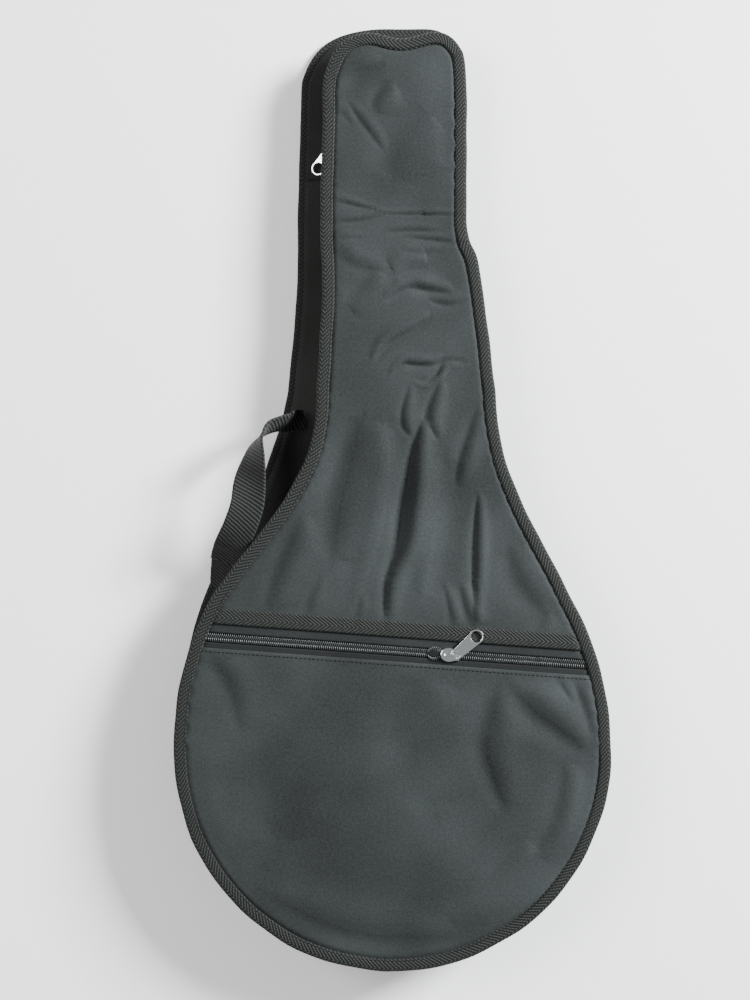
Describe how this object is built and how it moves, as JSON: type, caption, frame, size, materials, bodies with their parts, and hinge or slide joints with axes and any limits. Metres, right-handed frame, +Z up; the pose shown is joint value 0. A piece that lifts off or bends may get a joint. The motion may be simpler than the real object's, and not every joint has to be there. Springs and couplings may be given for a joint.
{
  "type": "soft instrument carrying bag",
  "caption": "Soft round-bodied fabric carrying bag for a small long-necked lute, with a zipped opening front, a zipped front pocket and a webbing side handle.",
  "frame": {"origin": "bottom centre of the bag's box, on the surface that its back lies on", "axes": "+X to the bag's right, +Y from the round body to the head, +Z up out of the front"},
  "size_m": [0.3248, 0.7044, 0.0498],
  "materials": {
    "cloth": "plain woven polyester, matt",
    "tape": "ribbed woven tape and webbing, matt",
    "nylon": "moulded nylon coil, satin",
    "chrome": "plated zinc alloy"
  },
  "bodies": {
    "base": {"back_panel": "cloth", "back_binding": "tape", "back_gusset": "cloth", "side_gusset_lower": "cloth", "side_gusset_upper": "cloth", "main_zip_tape_back": "tape", "main_zip_coil_back": "nylon", "main_zip_tape_start": "tape", "main_zip_coil_start": "nylon", "handle_end_lower": "tape", "handle_end_upper": "tape"},
    "lid": {"front_panel": "cloth", "front_binding": "tape", "front_gusset": "cloth", "main_zip_tape_front": "tape", "main_zip_coil_front": "nylon", "pocket_panel": "cloth", "pocket_backing": "cloth", "pocket_top_strip": "tape", "pocket_zip_facing": "cloth", "pocket_zip_coil_upper": "nylon", "pocket_zip_coil_lower": "nylon", "pocket_zip_tape": "tape"},
    "pocket_slider": {"pocket_slider": "chrome"},
    "pocket_pull": {"pocket_pull": "chrome"},
    "main_slider": {"main_slider": "chrome"},
    "main_pull": {"main_pull": "chrome"},
    "handle": {"handle": "tape"}
  },
  "joints": [
    {"name": "lid_hinge", "type": "hinge", "parent": "base", "child": "lid", "pos_m": [-0.062, 0.2862, 0.01594], "axis": [-0.2095, -0.9777, 0.0137], "range_deg": [0, 75], "deforming": ["side_gusset_upper"]},
    {"name": "pocket_slide", "type": "slide", "parent": "lid", "child": "pocket_slider", "axis": [0.9973, -0.0731, 0.002], "range_m": [-0.165, 0.09]},
    {"name": "pocket_pull_lift", "type": "hinge", "parent": "pocket_slider", "child": "pocket_pull", "pos_m": [0.04571, -0.11962, 0.04569], "axis": [0.6645, -0.747, 0.0209], "range_deg": [-2.5, 80]},
    {"name": "main_slide", "type": "slide", "parent": "base", "child": "main_slider", "axis": [0.0295, 0.9995, -0.0083], "range_m": [-0.01, 0.022]},
    {"name": "main_pull_lift", "type": "hinge", "parent": "main_slider", "child": "main_pull", "pos_m": [-0.04338, 0.26533, 0.01629], "axis": [-0.7655, 0.5937, -0.2481], "range_deg": [-2, 28]},
    {"name": "handle_swing", "type": "hinge", "parent": "base", "child": "handle", "pos_m": [-0.134, -0.0658, 0.016], "axis": [0.4182, 0.9079, 0.0301], "range_deg": [-60, 0]}
  ]
}
